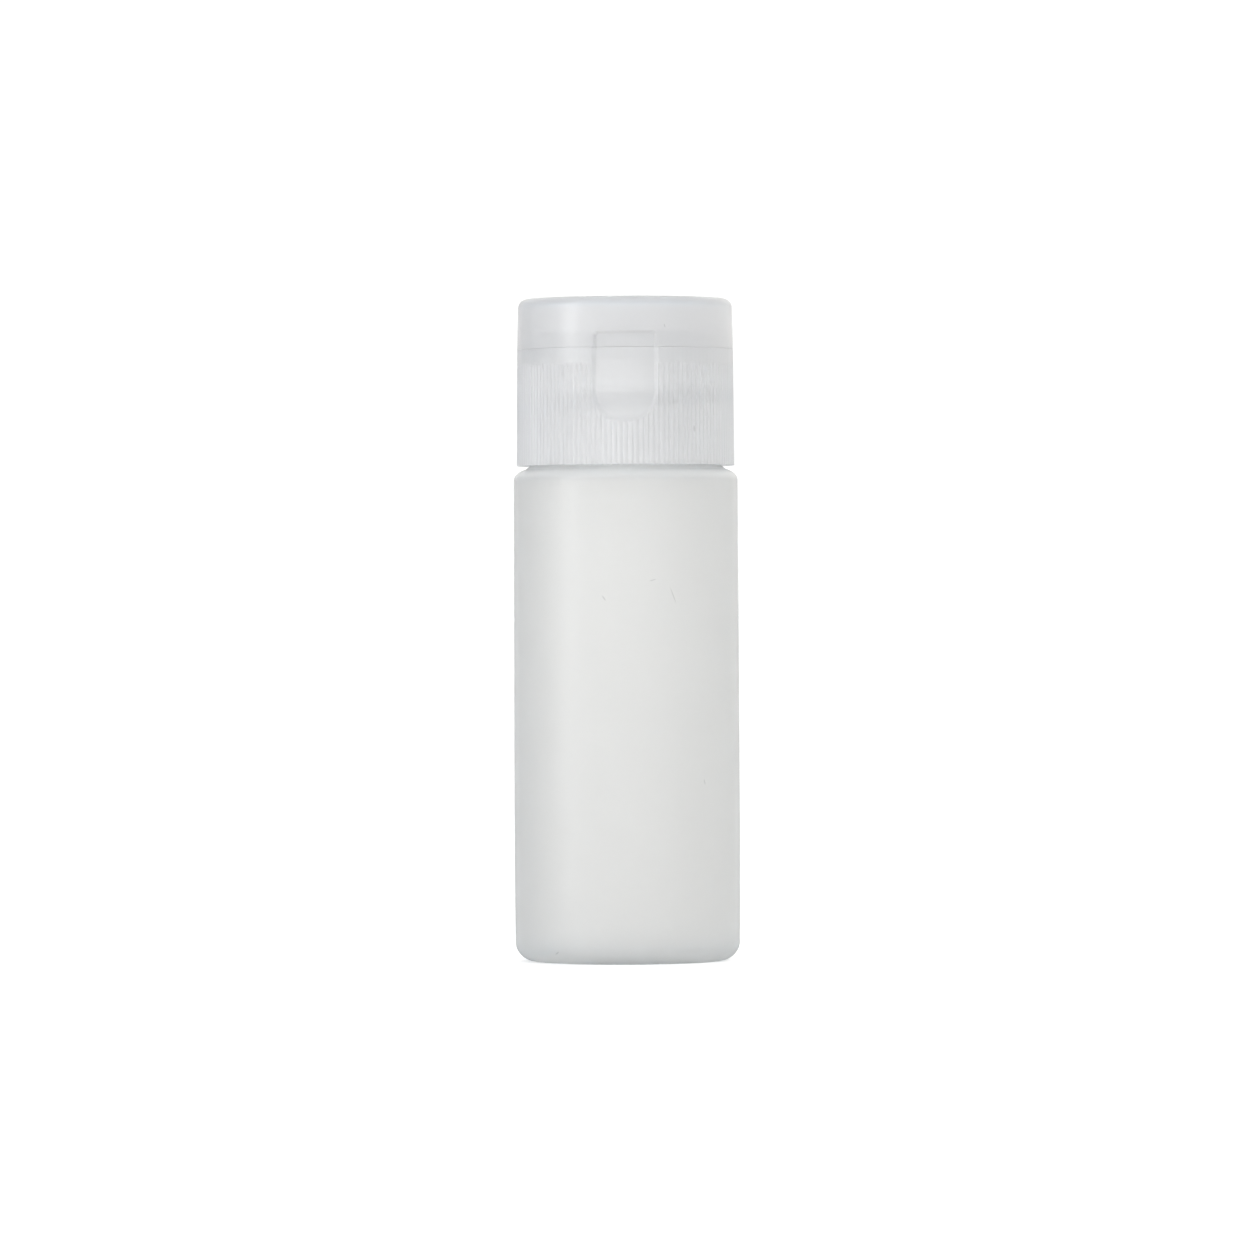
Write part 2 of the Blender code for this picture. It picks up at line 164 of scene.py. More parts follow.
class ClosureSizes(bpy.types.PropertyGroup):
    """The closure's base: ribbed skirt, thumb scoop, shelf, raised deck and nozzle."""

    parting_height: length("Parting height", "Top of the skirt, where the lid sits", 76.3)
    parting_radius: length("Parting radius", "Outer radius at the top of the skirt", 13.5)
    skirt_drop: length("Skirt drop", "How far the skirt's finished edge comes down", 0.08)
    skirt_edge: length("Skirt edge", "Radius of the skirt's lower outer edge", 0.07)
    parting_edge: length("Parting edge", "Radius of the edges where skirt and lid meet", 0.035)
    rib_count: bpy.props.IntProperty(name="Ribs", description="Ribs round the skirt", default=128, min=16)
    rib_depth: length("Rib depth", "Depth of the grooves between ribs", 0.14)
    rib_top: length("Rib top", "Height at which the ribs end", 74.45)
    collar_share: share("Collar ribs", "Depth that the ribs keep on the collar above them", 0.12)
    bore: length("Bore", "Inner radius of the skirt", 12.25)
    shelf_underside: length("Shelf underside", "Height of the shelf's lower face", 75.0)
    deck_radius: length("Deck radius", "Outer radius of the raised deck", 12.0)
    deck_top: length("Deck top", "Height of the deck's upper face", 78.4)
    deck_underside: length("Deck underside", "Height of the deck's lower face", 77.2)
    liner_seat: length("Liner seat", "Radius of the recess for the liner", 11.3)
    liner_hole: length("Liner hole", "Radius of the liner's hole", 2.3)
    liner_edge: length("Liner edge", "Radius of the liner's rounded edges", 0.08)
    snap_bead: length("Snap bead", "How far the lid's snap bead stands out of the deck", 0.12)
    nozzle_radius: length("Nozzle radius", "Outer radius of the nozzle", 2.0)
    orifice_radius: length("Orifice radius", "Radius of the hole in the nozzle", 1.3)
    scoop_half_width: length("Scoop half width", "Half the width of the thumb scoop", 4.25)
    scoop_centre: length("Scoop centre", "Height of the centre of the scoop's round end", 71.0)
    scoop_depth: length("Scoop depth", "Depth of the scoop below the ribs' crests", 0.42)
    scoop_edge: length("Scoop edge", "Width of the scoop's steep side", 0.6)
    scoop_flare: length("Scoop flare", "Radius by which the scoop's floor runs out", 1.3)
    scoop_least: length("Scoop least depth", "Depth of the scoop where its floor has run out", 0.12)
    back_flat: length("Back flat", "Distance of the hinge's flat from the axis", 12.95)
    back_flat_bottom: length("Back flat bottom", "Height at which the hinge's flat starts", 69.6)


class LidSizes(bpy.types.PropertyGroup):
    """The lid: a shallow cup with a recess in its front, a boss and a sealing pin."""

    gap: length("Gap", "Gap between the closed lid and the closure's base", 0.015)
    top_radius: length("Top radius", "Outer radius below the rounded top edge", 13.37)
    rounding: length("Rounding", "Radius of the top edge", 1.15)
    thickness: length("Thickness", "Thickness of the lid's top", 1.2)
    bore: length("Bore", "Inner radius of the lid", 12.28)
    recess_half_width: length("Recess half width", "Half the width of the front recess", 3.97)
    recess_top: length("Recess top", "Height of the top of the front recess", 78.3)
    recess_depth: length("Recess depth", "Depth of the front recess", 0.38)
    recess_edge: length("Recess edge", "Width of the recess's steep side", 0.3)
    recess_rounding: length("Recess rounding", "Radius of the recess's upper corners", 0.6)
    boss_radius: length("Boss radius", "Radius of the boss above the nozzle", 1.85)
    boss_foot: length("Boss foot", "Height of the boss's lower face", 80.75)
    pin_radius: length("Pin radius", "Radius of the sealing pin", 0.85)
    columns: bpy.props.IntProperty(name="Columns", description="Steps round the lid", default=384, min=96)


class HingeSizes(bpy.types.PropertyGroup):
    """The living hinge's straps."""

    coined_share: share("Coined share", "Part of a strap's thickness left along the fold", 0.45)
    coined_width: length("Coined width", "Half width of the thinned line", 0.28)
    bend: length("Bend", "Half the length of strap that bends", 0.4)


class PlasticLooks(bpy.types.PropertyGroup):
    """Colours and clearness of the plastics."""

    bottle_colour: colour("Bottle", "Colour of the bottle's polyethylene", (0.995, 0.973, 0.946))
    closure_colour: colour("Closure", "Colour of the closure's polypropylene", (0.982, 0.970, 0.965))
    liner_colour: colour("Liner", "Colour of the liner's foam", (0.90, 0.90, 0.88))
    bottle_clearness: share("Bottle clearness", "Share of light that passes a face unscattered", 0.6)
    closure_clearness: share("Closure clearness", "Share of light that passes a face unscattered", 0.55)
    bottle_roughness: share("Bottle roughness", "Roughness of the bottle", 0.42)
    closure_roughness: share("Closure roughness", "Roughness of the closure", 0.36)
    depth_colour: colour("Depth colour", "Colour that thick plastic leans to", (0.50, 0.755, 0.93))
    bottle_density: plain_number("Bottle density", "Light taken off in a metre of the bottle", 90.0)
    closure_density: plain_number("Closure density", "Light taken off in a metre of the closure", 40.0)
    mark_depth: share("Mark depth", "How much darker a handling mark is", 0.24)


class StudioLooks(bpy.types.PropertyGroup):
    """Camera and lights."""

    camera_distance: length("Camera distance", "Distance of the camera from the bottle's axis", 1000.0)
    camera_height: length("Camera height", "Height of the camera", 45.4)
    aim_height: length("Aim height", "Height on the axis that the camera looks at", 41.3)
    aim_side: length("Aim side", "How far right of the axis the camera looks", 0.45)
    view_width: length("View width", "Width of the view at the bottle", 157.5)
    camera_roll: degrees("Camera roll", "Turn of the camera about its view", -0.27)
    key_power: plain_number("Key power", "Watts of the tall softbox on the left", 3.7)
    front_power: plain_number("Front power", "Watts of the front fill on the closure", 6.0)
    shoulder_power: plain_number("Shoulder power", "Watts of the high fill on the bottle", 8.3)


class BottleProject(bpy.types.PropertyGroup):
    """All settings of the file."""

    bottle: bpy.props.PointerProperty(type=BottleSizes)
    thread: bpy.props.PointerProperty(type=ThreadSizes)
    closure: bpy.props.PointerProperty(type=ClosureSizes)
    lid: bpy.props.PointerProperty(type=LidSizes)
    hinge: bpy.props.PointerProperty(type=HingeSizes)
    plastics: bpy.props.PointerProperty(type=PlasticLooks)
    studio: bpy.props.PointerProperty(type=StudioLooks)


# Profiles: arrays of (radius, height) points, in the order in which a turned surface runs.


def arc(centre, radii, start, end, steps):
    """Points on an ellipse: the centre plus each radius times the cosine or sine of an evenly spaced
    angle in degrees."""
    turn = np.radians(np.linspace(start, end, steps + 1))
    return np.stack([centre[0] + radii[0] * np.cos(turn), centre[1] + radii[1] * np.sin(turn)], axis=1)


def rounded(corners, steps=5):
    """Straight lines through (radius, height, rounding) corners, each inner corner replaced by the arc that
    touches both its lines: along the arc the two radii to its ends are mixed by sine shares."""
    pieces = [np.array([corners[0][:2]])]
    for before, corner, after in zip(corners, corners[1:], corners[2:]):
        point = np.array(corner[:2])
        back, ahead = np.array(before[:2]) - point, np.array(after[:2]) - point
        reach = 0.49 * min(np.linalg.norm(back), np.linalg.norm(ahead))
        back, ahead = back / np.linalg.norm(back), ahead / np.linalg.norm(ahead)
        half = math.acos(np.clip(back @ ahead, -1.0, 1.0)) / 2
        if corner[2] <= 0 or half > math.radians(89.5):
            pieces.append(point[None])
            continue
        tangent = min(corner[2] / math.tan(half), reach)
        centre = point + (back + ahead) / np.linalg.norm(back + ahead) * tangent / math.cos(half)
        turn = math.pi - 2 * half
        t = np.linspace(0.0, 1.0, steps + 1)[:, None]
        first, last = point + back * tangent - centre, point + ahead * tangent - centre
        pieces.append(centre + (np.sin((1 - t) * turn) * first + np.sin(t * turn) * last) / math.sin(turn))
    pieces.append(np.array([corners[-1][:2]]))
    return np.concatenate(pieces)


def spaced(profile, longest):
    """The same line with points added so that no step is longer than the given length."""
    steps = np.maximum(1, np.ceil(np.linalg.norm(np.diff(profile, axis=0), axis=1) / longest)).astype(int)
    start = np.repeat(np.arange(len(steps)), steps)
    within = np.arange(steps.sum()) - np.repeat(np.cumsum(steps) - steps, steps)
    t = (within / np.repeat(steps, steps))[:, None]
    return np.concatenate([profile[start] * (1 - t) + profile[start + 1] * t, profile[-1:]])


def smooth(value):
    """3t^2 - 2t^3 of the value held between 0 and 1."""
    t = np.clip(value, 0.0, 1.0)
    return t * t * (3 - 2 * t)


# Surfaces: rings of points, joined into one closed skin.


def rings(radius, height, angle):
    """(x, y, z) = (radius cos angle, radius sin angle, height), for a radius per row or per point."""
    radius = np.broadcast_to(radius, (len(radius), len(angle)))
    height = np.broadcast_to(height, radius.shape)
    return np.stack([radius * np.cos(angle), radius * np.sin(angle), height], axis=2)


def pole(x, y, z):
    """A ring of a single point."""
    return np.array([[[x, y, z]]])


def full_turn(count):
    """Evenly spaced angles round a whole turn, the first on +X."""
    return np.arange(count) * (math.tau / count)


def between(first, first_count, second, second_count):
    """Triangles between two rings, given by the number of their first point and their count. Every point of
    the coarser ring is met by the same number of points of the finer one; a count of 1 is a pole."""
    if first_count < second_count:
        return between(second, second_count, first, first_count)[:, ::-1]
    per = first_count // second_count
    k = np.arange(first_count)
    near = (k % per + 1) * 2 > per
    low = second + (k // per + (near & (second_count > 1))) % second_count
    fan = np.stack([first + k, first + (k + 1) % first_count, low], axis=1)
    if second_count == 1:
        return fan
    j = np.arange(second_count)
    middle = first + j * per + np.flatnonzero(near)[0]
    return np.concatenate([fan, np.stack([second + (j + 1) % second_count, second + j, middle], axis=1)])


def skin(name, strips, closed=False):
    """One mesh from strips of rings, each an array of (row, column, xyz). Neighbouring rings are joined all
    round, the strips in their order, and with closed the last ring meets the first. A strip of one column is
    a pole. The whole is turned so that the volume inside it is positive."""
    points = np.concatenate([strip.reshape(-1, 3) for strip in strips])
    starts, counts, at = [], [], 0
    for strip in strips:
        rows, columns = strip.shape[:2]
        starts.append(at + np.arange(rows) * columns)
        counts.append(np.full(rows, columns))
        at += rows * columns
    starts, counts = np.concatenate(starts), np.concatenate(counts)
    pairs = list(zip(range(len(starts) - 1), range(1, len(starts))))
    if closed:
        pairs.append((len(starts) - 1, 0))
    triangles = np.concatenate([between(starts[a], counts[a], starts[b], counts[b]) for a, b in pairs])
    corners = points[triangles]
    if np.einsum("ij,ij->i", corners[:, 0], np.cross(corners[:, 1], corners[:, 2])).sum() < 0:
        triangles = triangles[:, ::-1]
    mesh = bpy.data.meshes.new(name)
    mesh.vertices.add(len(points))
    mesh.vertices.foreach_set("co", points.astype(np.float32).ravel())
    mesh.loops.add(triangles.size)
    mesh.loops.foreach_set("vertex_index", triangles.astype(np.int32).ravel())
    mesh.polygons.add(len(triangles))
    mesh.polygons.foreach_set("loop_start", np.arange(0, triangles.size, 3, dtype=np.int32))
    mesh.update(calc_edges=True)
    mesh.validate()
    mesh.shade_smooth()
    mesh.set_sharp_from_angle(angle=SHARP_ANGLE)
    return mesh


def place(mesh, material):
    """Puts a finished mesh in the scene under its own name, in one material."""
    piece = bpy.data.objects.new(mesh.name, mesh)
    bpy.context.scene.collection.objects.link(piece)
    mesh.materials.append(material)
    return piece


def thread_ridge(height, angle, thread, bottom, crest, root):
    """How far the thread stands out, from 0 to 1: a smoothed trapezoid across the helix whose height is
    the bottom plus the lead times the turns, sinking away at both ends."""
    turns = angle / math.tau
    winding = np.round((height - bottom) / thread.lead - turns)
    offset = np.abs(height - bottom - thread.lead * (turns + winding))
    along = math.tau * (turns + winding)
    left = math.tau * thread.turns - along
    early = 0.15
    ends = smooth(along / thread.run_out + early) * smooth(left / thread.run_out + early)
    return ends * smooth((root / 2 - offset) / ((root - crest) / 2))


def settings():
    """The scene's settings of this file."""
    return bpy.context.scene.squeeze_bottle


# Materials.


def new_group(name, inputs, outputs):
    """An empty shader node group with named sockets: (kind, name, default) inputs and (kind, name)
    outputs."""
    group = bpy.data.node_groups.new(name, "ShaderNodeTree")
    for kind, socket_name, default in inputs:
        socket = group.interface.new_socket(socket_name, in_out="INPUT", socket_type="NodeSocket" + kind)
        socket.default_value = default
    for kind, socket_name in outputs:
        group.interface.new_socket(socket_name, in_out="OUTPUT", socket_type="NodeSocket" + kind)
    return group


class Nodes:
    """Adds nodes to a tree, and links or sets their inputs in the same call."""

    def __init__(self, tree):
        self.tree = tree

    def add(self, kind, inputs=None, **values):
        node = self.tree.nodes.new(kind if kind.startswith("NodeGroup") else "ShaderNode" + kind)
        for key, value in values.items():
            setattr(node, key, value)
        return self.feed(node, inputs or {})

    def feed(self, node, inputs):
        for key, value in inputs.items():
            if isinstance(value, bpy.types.NodeSocket):
                self.tree.links.new(value, node.inputs[key])
            else:
                node.inputs[key].default_value = value
        return node

    def math(self, operation, a, b=0.0, clamp=False):
        return self.add("Math", {0: a, 1: b}, operation=operation, use_clamp=clamp).outputs[0]

    def vector(self, operation, inputs):
        return self.add("VectorMath", inputs, operation=operation).outputs[0]

    def noise(self, vector, scale, detail=3.0, roughness=0.5):
        inputs = {"Vector": vector, "Scale": scale, "Detail": detail, "Roughness": roughness}
        return self.add("TexNoise", inputs).outputs[0]

    def spread(self, value, low, high, to_low=0.0, to_high=1.0):
        """The value's stretch from low to high, mapped smoothly to another stretch."""
        inputs = {"Value": value, "From Min": low, "From Max": high, "To Min": to_low, "To Max": to_high}
        return self.add("MapRange", inputs, interpolation_type="SMOOTHSTEP").outputs[0]


def plastic_surface_group():
    """Fine surface of a moulded milky plastic. From a position in metres and the plastic's colour it gives
    a colour that clouds a little, a roughness with scuffs, and a height with mould grain and scratches."""
    group = new_group(
        "moulded_plastic_surface",
        [
            ("Vector", "Position", (0.0, 0.0, 0.0)),
            ("Color", "Colour", (0.9, 0.9, 0.9, 1.0)),
            ("Float", "Roughness", 0.4),
            ("Float", "Clouding", 0.04),
            ("Float", "Scuffs", 0.1),
            ("Float", "Grain", 0.4),
        ],
        [("Color", "Colour"), ("Float", "Roughness"), ("Float", "Height")],
    )
    nodes = Nodes(group)
    given = nodes.add("NodeGroupInput").outputs
    cloud = nodes.noise(given["Position"], 260.0, detail=5.0, roughness=0.65)
    paler = nodes.math("SUBTRACT", 1.0, nodes.math("MULTIPLY", cloud, given["Clouding"]))
    clouded = nodes.vector("SCALE", {0: given["Colour"], 3: paler})
    upright = {"Vector": given["Position"], "Scale": (1.0, 1.0, 0.12)}
    streaked = nodes.add("Mapping", upright).outputs[0]
    streaks = nodes.spread(nodes.noise(streaked, 2600.0, detail=2.0), 0.62, 0.78)
    patches = nodes.spread(nodes.noise(given["Position"], 160.0), 0.45, 0.7)
    scuffs = nodes.math("MULTIPLY", nodes.math("MULTIPLY", streaks, patches), given["Scuffs"])
    mottle = 0.06
    mottled = nodes.math("SUBTRACT", nodes.math("MULTIPLY", patches, mottle), mottle / 2)
    rougher = nodes.math("ADD", nodes.math("ADD", given["Roughness"], scuffs), mottled, clamp=True)
    grain = nodes.math("MULTIPLY", nodes.noise(given["Position"], 5200.0, detail=2.0), given["Grain"])
    waves = nodes.noise(given["Position"], 240.0, detail=1.0)
    height = nodes.math("SUBTRACT", nodes.math("ADD", grain, waves), nodes.math("MULTIPLY", scuffs, 0.5))
    nodes.add("NodeGroupOutput", {"Colour": clouded, "Roughness": rougher, "Height": height})
    return group


def handling_mark_group():
    """A short stroke on the front: 1 along its middle and falling to 0 at its edge. The place is turned
    about Y and divided by half the stroke's length and width, and the mask falls with the distance
    that gives."""
    group = new_group(
        "handling_mark",
        [
            ("Vector", "Position", (0.0, 0.0, 0.0)),
            ("Vector", "Place", (0.0, 0.0, 0.0)),
            ("Float", "Turn", 0.0),
            ("Vector", "Reach", (0.001, 0.002, 0.0002)),
        ],
        [("Float", "Mask")],
    )
    nodes = Nodes(group)
    given = nodes.add("NodeGroupInput").outputs
    away = nodes.vector("SUBTRACT", {0: given["Position"], 1: given["Place"]})
    turned = nodes.add(
        "VectorRotate",
        {"Vector": away, "Axis": (0.0, 1.0, 0.0), "Angle": given["Turn"]},
        rotation_type="AXIS_ANGLE",
    ).outputs[0]
    scaled = nodes.vector("DIVIDE", {0: turned, 1: given["Reach"]})
    far = nodes.add("VectorMath", {0: scaled}, operation="LENGTH").outputs["Value"]
    nodes.add("NodeGroupOutput", {"Mask": nodes.spread(far, 1.0, 0.3)})
    return group


def marks_mask(nodes, position, marks, radius):
    """The strongest of a list of strokes on the front of a round surface, each (x, z, turn in degrees, half
    length, half width)."""
    group = bpy.data.node_groups.get("handling_mark") or handling_mark_group()
    through = 2.5 * MM
    mask = 0.0
    for x, z, turn, long, wide in marks:
        inputs = {
            "Position": position,
            "Place": (x * MM, -math.sqrt(radius**2 - (x * MM) ** 2), z * MM),
            "Turn": math.radians(turn),
            "Reach": (long * MM, through, wide * MM),
        }
        stroke = nodes.add("Group", node_tree=group)
        mask = nodes.math("MAXIMUM", mask, nodes.feed(stroke, inputs).outputs[0])
    return mask


def new_material(name):
    """A material, the adder for its tree, its shader, and the position on the piece."""
    material = bpy.data.materials.new(name)
    material.use_nodes = True
    nodes = Nodes(material.node_tree)
    shader = material.node_tree.nodes["Principled BSDF"]
    return material, nodes, shader, nodes.add("TexCoord").outputs["Object"]


def milky_plastic(name, tint, roughness, clearness, density, marks, radius, clouding, scuffs, grain):
    """A milky plastic: part of the light passes the wall, blurred by its rough faces, and the rest is
    scattered by a pale body colour. Thick plastic takes light off, the red most."""
    looks = settings().plastics
    material, nodes, shader, position = new_material(name)
    group = bpy.data.node_groups.get("moulded_plastic_surface") or plastic_surface_group()
    values = {"Position": position, "Colour": (*tint, 1.0), "Roughness": roughness}
    values |= {"Clouding": clouding, "Scuffs": scuffs, "Grain": grain}
    surface = nodes.feed(nodes.add("Group", node_tree=group), values).outputs
    mask = marks_mask(nodes, position, marks, radius)
    left = nodes.math("SUBTRACT", 1.0, nodes.math("MULTIPLY", mask, looks.mark_depth))
    relief = nodes.add("Bump", {"Height": surface["Height"], "Strength": 0.25, "Distance": 0.02 * MM})
    inputs = {
        "Base Color": nodes.vector("SCALE", {0: surface["Colour"], 3: left}),
        "Roughness": surface["Roughness"],
        "Normal": relief.outputs[0],
        "IOR": 1.5,
        "Transmission Weight": clearness,
    }
    nodes.feed(shader, inputs)
    depth = nodes.add("VolumeAbsorption", {"Color": (*looks.depth_colour, 1.0), "Density": density})
    nodes.feed(material.node_tree.nodes["Material Output"], {"Volume": depth.outputs[0]})
    return material


def bottle_material():
    looks = settings().plastics
    return milky_plastic(
        "soft_polyethylene",
        looks.bottle_colour,
        looks.bottle_roughness,
        looks.bottle_clearness,
        looks.bottle_density,
        BOTTLE_MARKS,
        BOTTLE_HIGH.x,
        clouding=0.05,
        scuffs=0.1,
        grain=0.3,
    )


def closure_material():
    looks = settings().plastics
    return bpy.data.materials.get("natural_polypropylene") or milky_plastic(
        "natural_polypropylene",
        looks.closure_colour,
        looks.closure_roughness,
        looks.closure_clearness,
        looks.closure_density,
        CLOSURE_MARKS,
        CAP_HIGH.x,
        clouding=0.03,
        scuffs=0.01,
        grain=0.06,
    )


def foam_material():
    """Foamed liner: matt white with fine open cells, whose pits are painted darker as shade."""
    material, nodes, shader, position = new_material("foamed_liner")
    cells = nodes.add("TexVoronoi", {"Vector": position, "Scale": 4200.0}).outputs["Distance"]
    pits = nodes.spread(cells, 0.05, 0.5)
    tint = settings().plastics.liner_colour
    # Painted shade: the colour is darker in the cells' low pits, where the bump sinks.
    pit_shade = 0.88
    tones = {"Factor": pits, "A": (*[pit_shade * part for part in tint], 1.0), "B": (*tint, 1.0)}
    inputs = {
        "Base Color": nodes.add("Mix", tones, data_type="RGBA").outputs["Result"],
        "Roughness": nodes.spread(cells, 0.0, 0.6, 0.9, 0.7),
        "Normal": nodes.add("Bump", {"Height": pits, "Strength": 0.4, "Distance": 0.04 * MM}).outputs[0],
    }
    nodes.feed(shader, inputs)
    return material


# The pieces' shapes.


def body_curve(sizes, offset, steps):
    """Outer radius from the heel up to the shoulder, less an offset: it swells as a parabola from the heel to
    the widest height, and then falls off towards the shoulder."""
    height = np.linspace(sizes.heel_rounding, sizes.shoulder_height, steps)
    below = np.clip((sizes.widest_height - height) / (sizes.widest_height - sizes.heel_rounding), 0, 1)
    above = np.clip((height - sizes.widest_height) / (sizes.shoulder_height - sizes.widest_height), 0, 1)
    widest = BOTTLE_HIGH.x - sizes.seam_height
    radius = widest - (widest - sizes.heel_radius) * below**2 - (widest - sizes.shoulder_radius) * above**1.3
    return np.stack([radius - offset, height], axis=1)


def base_dome(sizes, base, ring_inner, steps):
    """The base from its middle outwards: the dome's height falls as the square of the radius."""
    t = np.linspace(0.0, 1.0, steps + 1)
    return np.stack([t * ring_inner, base + sizes.dome_height * (1 - t**2)], axis=1)


def bottle_outside(sizes, top):
    """From the middle of the base over the heel, body, shoulder and neck to the lip's crown."""
    heel = sizes.heel_radius - sizes.heel_rounding
    ring_inner = heel - sizes.standing_ring
    shoulder_inner = sizes.shoulder_radius - sizes.shoulder_reach
    shoulder_top = sizes.shoulder_height + sizes.shoulder_rise
    neck = sizes.neck_radius
    foot = CAP_LOW.z - NEAR
    reach, turn = (sizes.shoulder_reach, sizes.shoulder_rise), math.degrees(sizes.shoulder_turn)
    shoulder = arc((shoulder_inner, sizes.shoulder_height), reach, 0, turn, 12)
    corners = [
        (*shoulder[-1], 0),
        (shoulder_inner + 0.55 * MM, shoulder_top + 0.12 * MM, 0.3 * MM),
        (neck + 0.95 * MM, foot, 0.05 * MM),
        (neck, foot, 0.2 * MM),
        (neck, top, 0.3 * MM),
        (neck - 0.6 * MM, top, 0),
    ]
    parts = [
        base_dome(sizes, 0.0, ring_inner, 14)[1:],
        arc((heel, sizes.heel_rounding), (sizes.heel_rounding,) * 2, -90, 0, 12)[:-1],
        body_curve(sizes, 0.0, 48)[:-1],
        shoulder[:-1],
        spaced(rounded(corners), 0.16 * MM),
    ]
    return np.concatenate(parts)


def bottle_inside(sizes, top):
    """From the lip's crown down the bore and the inner wall to the middle of the floor."""
    heel = sizes.heel_radius - sizes.heel_rounding
    ring_inner = heel - sizes.standing_ring
    shoulder_top = sizes.shoulder_height + sizes.shoulder_rise
    wall, bore = sizes.wall, sizes.neck_bore
    inner = sizes.shoulder_radius - wall
    corners = [
        (bore + 0.6 * MM, top, 0),
        (bore, top, 0.3 * MM),
        (bore, shoulder_top - 0.2 * MM, 0.9 * MM),
        (inner - 1.2 * MM, shoulder_top - wall - 0.2 * MM, 0),
    ]
    rounding = sizes.heel_rounding + 0.1 * MM
    floor_centre = (sizes.heel_radius - wall - rounding, sizes.floor_thickness + rounding)
    body = body_curve(sizes, wall, 24)
    above_floor = body[:, 1] > floor_centre[1] + 0.5 * MM
    body = body[above_floor & (body[:, 1] < shoulder_top - wall - 1.2 * MM)]
    parts = [
        spaced(rounded(corners), 1.2 * MM)[1:],
        arc((inner - MM, shoulder_top - wall - MM), (MM, 0.8 * MM), 75, 0, 6),
        body[::-1],
        arc(floor_centre, (rounding,) * 2, 0, -90, 8),
        base_dome(sizes, sizes.floor_thickness, ring_inner, 10)[1:][::-1],
    ]
    return np.concatenate(parts)


def seamed_turn(count):
    """Even angles round a turn with close columns added at the two mould seams, on +X and -X."""
    close = np.radians([-0.7, -0.35, 0.35, 0.7])
    return np.sort(np.concatenate([full_turn(count), close, close + math.pi]) % math.tau)


def make_bottle_mesh(name, sizes, thread):
    """A profile turned about Z: outside up, inside down. To the outside's radius come the neck's thread and
    two seams, narrow bell curves of the distance to the mould's parting plane; the base has the weld line of
    the pinched tube, a low bell curve along X."""
    top = BOTTLE_HIGH.z
    angle = seamed_turn(sizes.columns)
    outside, inside = bottle_outside(sizes, top), bottle_inside(sizes, top)
    radius, height = outside[:, :1], outside[:, 1:]
    full = radius > sizes.neck_radius - NEAR
    on_neck = smooth((height - sizes.shoulder_height - 2.5 * MM) / MM) * full
    ridge = thread_ridge(height, angle, thread, thread.bottom, thread.neck_crest, thread.neck_root)
    seam = np.exp(-((np.sin(angle) * radius / sizes.seam_width) ** 2)) * full
    seamed = (height > sizes.heel_rounding / 2) & (height < top - 0.5 * MM)
    outer = radius + on_neck * ridge * thread.neck_height + seam * seamed * sizes.seam_height
    outer_rings = rings(outer, height, angle)
    across = np.exp(-((outer_rings[..., 1] / sizes.weld_width) ** 2))
    weld = across * smooth((sizes.weld_length - np.abs(outer_rings[..., 0])) / MM)
    on_dome = (height > 0.15 * MM) & (height < 1.1 * MM)
    outer_rings[..., 2] -= sizes.weld_height * weld * on_dome
    inner_rings = rings(inside[:, :1], inside[:, 1:], angle)
    bottom_pole = pole(0.0, 0.0, sizes.dome_height - sizes.weld_height)
    floor_pole = pole(0.0, 0.0, sizes.dome_height + sizes.floor_thickness)
    return skin(name, [bottom_pole, outer_rings, inner_rings, floor_pole])


def scoop(x, height, sizes):
    """How far the thumb scoop is cut in. Inside the U, the depth rises smoothly over the edge's width with
    the distance from its outline, and near its lowest point it is held to a quarter circle's run-out."""
    lower = height < sizes.scoop_centre
    reach = np.where(lower, np.hypot(x, height - sizes.scoop_centre), np.abs(x))
    wall = smooth((sizes.scoop_half_width - reach) / sizes.scoop_edge)
    above = np.clip(height - sizes.scoop_centre + sizes.scoop_half_width, 0.0, sizes.scoop_flare)
    floor = sizes.scoop_depth - sizes.scoop_flare + np.sqrt(
        sizes.scoop_flare**2 - (sizes.scoop_flare - above) ** 2
    )
    return wall * np.clip(floor, sizes.scoop_least, sizes.scoop_depth)


def skirt_rings(sizes, angle):
    """The skirt's outside: a tapering radius less the ribs' grooves, each a squared raised cosine, or less
    the scoop where that is deeper, and trimmed flat at the back for the hinge."""
    bottom, top = CAP_LOW.z - sizes.skirt_drop, sizes.parting_height
    widest, row = CAP_HIGH.x, 0.16 * MM
    edge = sizes.skirt_edge
    low = arc((widest - edge, bottom + edge), (edge, edge), -90, 0, 3)
    edge = sizes.parting_edge
    high = arc((sizes.parting_radius - edge, top - edge), (edge, edge), 0, 90, 2)
    plain = np.linspace(low[-1, 1], sizes.scoop_centre - sizes.scoop_half_width - 0.1 * MM, 8)[1:]
    fine = np.arange(plain[-1] + row, high[0, 1] - row / 2, row)
    ledge = sizes.back_flat_bottom + np.array([-0.02, 0.02]) * MM
    height = np.sort(np.concatenate([plain, fine, ledge]))
    up = (height - bottom) / (top - bottom)
    straight = np.stack([widest + (sizes.parting_radius - widest) * up, height], axis=1)
    profile = np.concatenate([low, straight, high])
    radius, height = profile[:, :1], profile[:, 1:]
    fade = sizes.collar_share + (1 - sizes.collar_share) * smooth((sizes.rib_top - height) / (0.3 * MM))
    groove = ((1 - np.cos(sizes.rib_count * angle)) / 2) ** 2
    front = np.sin(angle) < 0
    cut = scoop(radius * np.cos(angle), height, sizes) * front
    points = rings(radius - np.maximum(sizes.rib_depth * fade * groove, cut), height, angle)
    flat = points[..., 2] > sizes.back_flat_bottom
    points[..., 1] = np.where(flat, np.minimum(points[..., 1], sizes.back_flat), points[..., 1])
    return points


